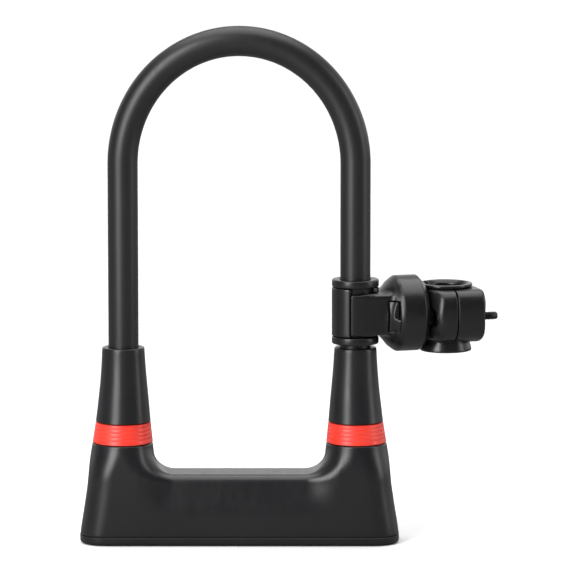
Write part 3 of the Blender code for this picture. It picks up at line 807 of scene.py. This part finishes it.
# Half section of the neck and cup: (distance along the arm, radius round it)
HORN = [
    (6.0, 0.0), (6.0, 9.2), (11.4, 9.9), (13.4, 12.0), (17.6, 16.9), (20.2, 18.9), (21.4, CUP_R),
    (32.2, CUP_R), (CUP_FACE_X, 16.8), (CUP_FACE_X, 0.0),
]


def horn_field(p):
    """The arm: a slab off the collar that opens into the round cup."""
    r = np.hypot(p[..., 1], p[..., 2])
    horn = outline_distance(p[..., 0].ravel(), r.ravel(), HORN).reshape(r.shape)
    web = slab(p, (0.0, -FLANGE_R, COLLAR_LOW), (19.0, FLANGE_R, COLLAR_HIGH), 2.0)
    return join(horn, web, 2.2)


def make_holder(mats):
    """Arm with its half collar, a stop lug under the spool's upper flange, and the cup."""
    pocket_outline = [
        (13.9, -40.0), (19.1, -40.0), (19.1, -15.1), (25.0, -15.1), (25.0, -10.8), (21.0, -10.8),
        (13.9, -8.2),
    ]
    lug_middle = math.radians(-12.0)
    lug_half = math.radians(17.0)

    def field(p):
        x = p[..., 0]
        r = np.hypot(p[..., 0], p[..., 1])
        collar = meet(r - FLANGE_R, np.maximum(COLLAR_LOW - p[..., 2], p[..., 2] - COLLAR_HIGH), 1.2)
        body = join(collar, horn_field(p), 2.0)
        wedge = (np.abs(angle_from_leg(p) - lug_middle) - lug_half) * r
        lug_height = np.maximum(11.0 - p[..., 2], p[..., 2] - SPOOL_HIGH + SPOOL_THICK + GAP)
        lug = meet(meet(r - FLANGE_R, wedge, 0.5), lug_height, 0.4)
        beside_spool = np.maximum(-10.5 - p[..., 2], p[..., 2] - 12.2) - 3.0 * np.maximum(r - 12.6, 0.0)
        body = np.minimum(meet(body, beside_spool), lug)
        body = carve(body, post(p, (0.0, 0.0), COLLAR_IN_R, -FAR, FAR), 0.4)
        turn = math.pi - np.abs(angle_from_leg(p))
        slit = (turn - KEEPER_ANGLE - math.radians(1.5)) * r
        body = carve(body, np.maximum(slit, x), 0.5)
        body = carve(body, rod(p, (0.0, 0.0), SOCKET_R, SOCKET_X, FAR), 0.6)
        pocket = outline_distance(x.ravel(), p[..., 1].ravel(), pocket_outline).reshape(x.shape)
        height = np.maximum(-BUTTON_HALF_Z - 0.1 - p[..., 2], p[..., 2] - BUTTON_HALF_Z - 0.5)
        body = carve(body, np.maximum(pocket, height), 0.1)
        for k in range(4):
            groove = ball(p, (20.4 + 1.05 * k, -CUP_R - 0.5, 0.0), (0.30, 0.85, 6.6))
            body = carve(body, groove, 0.2)
        return body

    cell = 0.4
    end = CUP_FACE_X + 0.1
    holder = skin("holder_arm_shell", field, (-FLANGE_R, -CUP_R, -CUP_R), (end, CUP_R, CUP_R), cell,
                  mats["bracket_plastic"], bracket=True)
    settle(holder, "holder", "bracket_plastic", "holder_arm")
    ring = rounded([(12.7, 30.6), (15.2, 30.6), (15.2, 34.6), (12.7, 34.6)], 0.5)
    inner = turned_along("cup_ring_insert", ring, 80, mats["bracket_plastic"])
    settle(inner, "holder", "bracket_plastic", "cup_ring")


def make_button(mats):
    """Release tab: follows the cup's surface, with a thumb scoop at its upper end."""
    outline = [
        (14.5, -FAR), (19.0, -FAR), (19.0, -14.8), (24.7, -14.8), (24.7, -13.5), (21.3, -13.5),
        (14.5, -11.0),
    ]

    def field(p):
        x = p[..., 0]
        z = p[..., 2]
        block = outline_distance(x.ravel(), p[..., 1].ravel(), outline).reshape(x.shape)
        block = np.maximum(block, np.abs(z) - BUTTON_HALF_Z)
        body = meet(block, horn_field(p), 0.1)
        scoop = slab(p, (13.0, -30.0, -1.2), (22.0, -15.4, 11.0), 1.6)
        body = carve(body, scoop, 0.6)
        foot = slab(p, (24.0, -14.8, -3.0), (28.5, -13.5, 3.0), 0.2)
        return np.minimum(body, foot)

    cell = 0.3
    button = skin("release_button_tab", field, (14.0, -23.0, -8.0), (29.0, -10.0, 8.0), cell,
                  mats["bracket_plastic"], bracket=True)
    settle(button, "latch", "bracket_plastic", "release_button")


def clamp_field(p):
    """Barrel-shaped clamp lying along the arm, before it is split."""
    power = 2.9
    y = np.abs(p[..., 1]) / CLAMP_HALF_Y
    z = np.abs(p[..., 2]) / CLAMP_HALF_Z
    section = ((y ** power + z ** power) ** (1.0 / power) - 1.0) * CLAMP_HALF_Z
    start = CLAMP_START_X - p[..., 0]
    cone = (np.hypot(p[..., 1], 1.25 * p[..., 2]) - 15.6) * 0.48 + start * 0.88
    end = p[..., 0] - CLAMP_END_X
    body = meet(section, end, 2.0)
    body = meet(meet(body, start, 0.6), cone, 2.6)
    end_hollow = ball(p, (66.6, -16.0, SCREW_Z), (4.0, 9.0, 9.5))
    body = carve(body, end_hollow, 1.2)
    body = meet(body, p[..., 2] - CLAMP_SEAT_Z, 1.4)
    hole = np.minimum(post(p, (CLAMP_X, 0.0), CLAMP_BORE_R, -FAR, FAR),
                      post(p, (CLAMP_X, 0.0), 13.7, -FAR, -13.6))
    return carve(body, hole, 0.8)


def clamp_cell():
    return 0.4


def make_mount(mats):
    """Clamp half nearer the arm, with its grooved plug in the cup and two hinge knuckles."""
    room = KNUCKLE_HALF + GAP
    plug_r = 12.4
    tip_r = 8.6
    groove_r = 6.3
    screw_head_room_r = 4.3

    def field(p):
        x = p[..., 0]
        z = np.abs(p[..., 2])
        body = meet(clamp_field(p), x - CLAMP_X + CLAMP_SPLIT, 0.5)
        pin_r = np.hypot(x - CLAMP_X, p[..., 1] - PIN_Y)
        knuckle = np.maximum(pin_r - KNUCKLE_R, np.maximum(room - z, z - KNUCKLE_END))
        body = np.minimum(body, knuckle)
        body = carve(body, np.maximum(pin_r - KNUCKLE_R - KNUCKLE_ROOM, z - room), 0.3)
        body = carve(body, np.maximum(pin_r - PIN_HOLE_R, z - KNUCKLE_END - 0.4))
        plug = rod(p, (0.0, 0.0), plug_r, 29.6, 42.0)
        tip = rod(p, (0.0, 0.0), tip_r, 24.2, 30.0)
        groove = np.maximum(np.maximum(26.1 - x, x - 28.9), groove_r - np.hypot(p[..., 1], p[..., 2]))
        body = join(body, carve(np.minimum(plug, tip), groove, 0.3), 0.8)
        body = carve(body, post(p, (CLAMP_X, 0.0), CLAMP_BORE_R, -FAR, FAR))
        body = carve(body, rod(p, (SCREW_Y, SCREW_Z), screw_head_room_r, 35.2, 41.3), 0.4)
        return carve(body, rod(p, (SCREW_Y, SCREW_Z), SCREW_ROOM_R, 38.0, 52.0), 0.3)

    low = (24.0, -CLAMP_HALF_Y, -CLAMP_HALF_Z - 0.1)
    high = (CLAMP_X + KNUCKLE_R, CLAMP_HALF_Y, CLAMP_HALF_Z + 0.1)
    mount = skin("mount_body_shell", field, low, high, clamp_cell(), mats["bracket_plastic"],
                 bracket=True)
    settle(mount, "mount", "bracket_plastic", "mount_body")


def make_jaw(mats):
    """Outer clamp half, with the middle knuckle, the screw's slot and the nut's pocket."""
    slot_half = 2.5
    nut_half = 3.6

    def field(p):
        x = p[..., 0]
        z = np.abs(p[..., 2])
        body = meet(clamp_field(p), CLAMP_X + CLAMP_SPLIT - x, 0.5)
        pin_r = np.hypot(x - CLAMP_X, p[..., 1] - PIN_Y)
        body = carve(body, np.maximum(pin_r - KNUCKLE_R - KNUCKLE_ROOM, KNUCKLE_HALF - z), 0.3)
        body = np.minimum(body, np.maximum(pin_r - KNUCKLE_R, z - KNUCKLE_HALF))
        body = carve(body, np.maximum(pin_r - PIN_HOLE_R, z - KNUCKLE_END - 0.4))
        slot = slab(p, (40.0, SCREW_Y - 4.0, SCREW_Z - slot_half),
                    (80.0, SCREW_Y + SCREW_ROOM_R, SCREW_Z + slot_half), 0.4)
        body = carve(body, slot, 0.4)
        nut_room = slab(p, (53.4, SCREW_Y - 4.5, SCREW_Z - nut_half), (58.4, -7.0, SCREW_Z + nut_half))
        return carve(body, nut_room, 0.3)

    low = (CLAMP_X - KNUCKLE_R, -CLAMP_HALF_Y, -CLAMP_HALF_Z - 0.1)
    high = (CLAMP_END_X, CLAMP_HALF_Y, CLAMP_HALF_Z + 0.1)
    jaw = skin("clamp_jaw_shell", field, low, high, clamp_cell(), mats["bracket_plastic"],
               bracket=True)
    settle(jaw, "jaw", "bracket_plastic", "clamp_jaw")


def make_shim(mats):
    """Split rubber sleeve with flared ends."""
    profile = rounded([
        (11.2, -20.1), (13.3, -20.1), (13.3, -18.9), (12.1, -14.4), (12.1, 12.4), (13.6, 13.3),
        (13.6, 14.7), (11.6, 14.7), (10.0, 12.9), (10.0, -17.0),
    ], 0.5)
    half_gap = math.radians(7.0)
    middle = math.radians(140.0)
    steps = 88
    rings = []
    for k in range(steps + 1):
        t = middle + half_gap + (2.0 * math.pi - 2.0 * half_gap) * k / steps
        rings.append([(CLAMP_X + r * math.cos(t), r * math.sin(t), z) for r, z in profile])
    shim = loft("tube_shim_sleeve", rings, mats["rubber"], bracket=True)
    settle(shim, "mount", "rubber", "tube_shim")


def make_clamp_screw(mats):
    """Socket-head screw with a real helical thread on its free end."""
    sides = 32
    pitch = 0.8
    major = 2.1
    minor = 1.72
    socket_r = 1.7
    flats = 6
    thread_start = 50.0
    thread_end = 70.4
    tip = 71.0
    tip_r = 1.4
    head = [
        (socket_r, 39.9), (socket_r, 38.4), (3.1, 38.2), (3.45, 38.5), (3.5, 38.8), (3.5, 40.7),
        (3.3, 41.0), (major, 41.0), (major, thread_start),
    ]
    rings = []
    for r, x in head:
        ring = []
        for k in range(sides):
            t = 2.0 * math.pi * k / sides
            reach = r
            if r == socket_r:
                wedge = (t + math.pi / flats) % (2.0 * math.pi / flats) - math.pi / flats
                reach = r * math.cos(math.pi / flats) / math.cos(wedge)
            ring.append((x, SCREW_Y + reach * math.cos(t), SCREW_Z + reach * math.sin(t)))
        rings.append(ring)
    x = thread_start + 0.2
    while x <= thread_end:
        ring = []
        for k in range(sides):
            turn = (x / pitch - k / sides) % 1.0
            ridge = abs(2.0 * turn - 1.0)
            depth = min(1.0, max(0.0, (70.8 - x) / 0.6)) * min(1.0, (x - thread_start) / pitch)
            reach = minor + (major - minor) * (1.0 - depth + depth * ridge) * (1.0 if x < 69.8 else 0.7)
            t = 2.0 * math.pi * k / sides
            ring.append((x, SCREW_Y + reach * math.cos(t), SCREW_Z + reach * math.sin(t)))
        rings.append(ring)
        x += pitch / 8.0
    rings.append([(tip, SCREW_Y + tip_r * c, SCREW_Z + tip_r * s) for c, s in circle(1.0, sides)])
    screw = loft("clamp_screw_threaded", rings, mats["dark_steel"], bracket=True, sharp=35.0)
    settle(screw, "screw", "steel", "clamp_screw")


# ---------------------------------------------------------------- the works, light and camera

def paint_packed_nodes(mats):
    """The solids that stay take the procedural material of their own slot."""
    slots = {entry["node"]: entry["material_slot"] for entry in frame["record"]["subparts"]}
    for node, obj in frame["nodes"].items():
        obj.data.materials.clear()
        obj.data.materials.append(mats[slots[node]])
        obj.data.shade_smooth()
        obj.data.set_sharp_from_angle(angle=math.radians(30.0))


def area_light(name, place, target, size, power):
    data = bpy.data.lights.new(name, "AREA")
    data.shape = "RECTANGLE"
    data.size = size[0]
    data.size_y = size[1]
    data.energy = power
    obj = bpy.data.objects.new(name, data)
    obj.location = place
    obj.visible_camera = False
    direction = Vector(target) - Vector(place)
    obj.rotation_mode = "QUATERNION"
    obj.rotation_quaternion = direction.to_track_quat("-Z", "Y")
    bpy.context.scene.collection.objects.link(obj)


def make_floor():
    """White paper. Reflections see it darker than it is, as if black flags stood beside the set."""
    mesh = bpy.data.meshes.new("studio_floor")
    half = 14.0
    corners = [(-half, -half, 0), (half, -half, 0), (half, half, 0), (-half, half, 0)]
    mesh.from_pydata(corners, [], [(0, 1, 2, 3)])
    floor = bpy.data.objects.new("studio_floor", mesh)
    bpy.context.scene.collection.objects.link(floor)
    make = Shader("studio_paper")
    paper = make.tint(make.noise(2.0), (0.90, 0.90, 0.90), (0.92, 0.92, 0.92))
    path = make.node("ShaderNodeLightPath")
    seen = make.node("ShaderNodeMix", {"Factor": path.outputs["Is Glossy Ray"]}, data_type="RGBA")
    make.tree.links.new(paper, seen.inputs["A"])
    seen.inputs["B"].default_value = (0.20, 0.20, 0.20, 1.0)
    make.link(seen.outputs["Result"], "Base Color")
    make.surface.inputs["Roughness"].default_value = 0.9
    make.surface.inputs["Specular IOR Level"].default_value = 0.1
    mesh.materials.append(make.material)
    floor.location = (0.0, 0.0, -0.0003)


def world_light():
    """Bright behind the set at low height, dim in front and overhead, and plain white to look at."""
    world = bpy.data.worlds.new("studio")
    world.use_nodes = True
    tree = world.node_tree

    def node(kind, **inputs):
        made = tree.nodes.new(kind)
        for key, value in inputs.items():
            made.inputs[key.replace("_", " ")].default_value = value
        return made

    direction = node("ShaderNodeTexCoord")
    split = node("ShaderNodeSeparateXYZ")
    facing = node("ShaderNodeVectorMath")
    facing.operation = "DOT_PRODUCT"
    facing.inputs[1].default_value = (0.22, 0.97, 0.0)
    behind = node("ShaderNodeMapRange", From_Min=-0.10, From_Max=0.6, To_Min=0.06, To_Max=1.20)
    low = node("ShaderNodeMapRange", From_Min=0.16, From_Max=0.70, To_Min=1.0, To_Max=0.30)
    product = node("ShaderNodeMath")
    product.operation = "MULTIPLY"
    path = node("ShaderNodeLightPath")
    shown = node("ShaderNodeMix")
    tree.links.new(direction.outputs["Generated"], split.inputs[0])
    tree.links.new(direction.outputs["Generated"], facing.inputs[0])
    tree.links.new(facing.outputs["Value"], behind.inputs["Value"])
    tree.links.new(split.outputs["Z"], low.inputs["Value"])
    tree.links.new(behind.outputs["Result"], product.inputs[0])
    tree.links.new(low.outputs["Result"], product.inputs[1])
    tree.links.new(path.outputs["Is Camera Ray"], shown.inputs["Factor"])
    tree.links.new(product.outputs[0], shown.inputs["A"])
    shown.inputs["B"].default_value = 1.0
    background = tree.nodes["Background"]
    background.inputs["Color"].default_value = (1.0, 1.0, 1.0, 1.0)
    tree.links.new(shown.outputs["Result"], background.inputs["Strength"])
    bpy.context.scene.world = world


def make_studio():
    world_light()
    bank = bpy.data.lights.new("overhead_bank", "SUN")
    bank.energy = 3.0
    bank.angle = math.radians(70.0)
    overhead = bpy.data.objects.new("overhead_bank", bank)
    overhead.rotation_euler = (math.radians(-8.0), 0.0, 0.0)
    bpy.context.scene.collection.objects.link(overhead)
    area_light("left_softbox", (-0.44, -0.61, 0.46), (0.0, 0.0, 0.20), (0.36, 0.90), 8.6)
    area_light("right_softbox", (0.80, -0.16, 0.40), (0.05, 0.0, 0.20), (0.26, 0.78), 1.9)
    bpy.context.scene.view_settings.view_transform = "Standard"


def make_camera():
    elevation = math.radians(8.0)
    distance = 2.2
    target = Vector((0.0246, 0.0, 0.131))
    back = Vector((0.0, -math.cos(elevation), math.sin(elevation)))
    data = bpy.data.cameras.new("camera")
    data.lens = 270.0
    data.sensor_width = 36.0
    data.clip_start = 0.05
    data.clip_end = 60.0
    camera = bpy.data.objects.new("camera", data)
    camera.location = target + back * distance
    camera.rotation_mode = "QUATERNION"
    camera.rotation_quaternion = (-back).to_track_quat("-Z", "Y")
    bpy.context.scene.collection.objects.link(camera)
    bpy.context.scene.camera = camera


mats = make_materials()
paint_packed_nodes(mats)
make_shell(mats)
for word, side in (("left", -1), ("right", 1)):
    make_sleeve(mats, word, side)
    make_accent(mats, word, side)
make_base(mats)
make_shutter(mats)
make_coating(mats)
make_spool(mats)
make_keeper(mats)
make_holder(mats)
make_button(mats)
make_mount(mats)
make_jaw(mats)
make_shim(mats)
make_clamp_screw(mats)
make_floor()
make_studio()
make_camera()
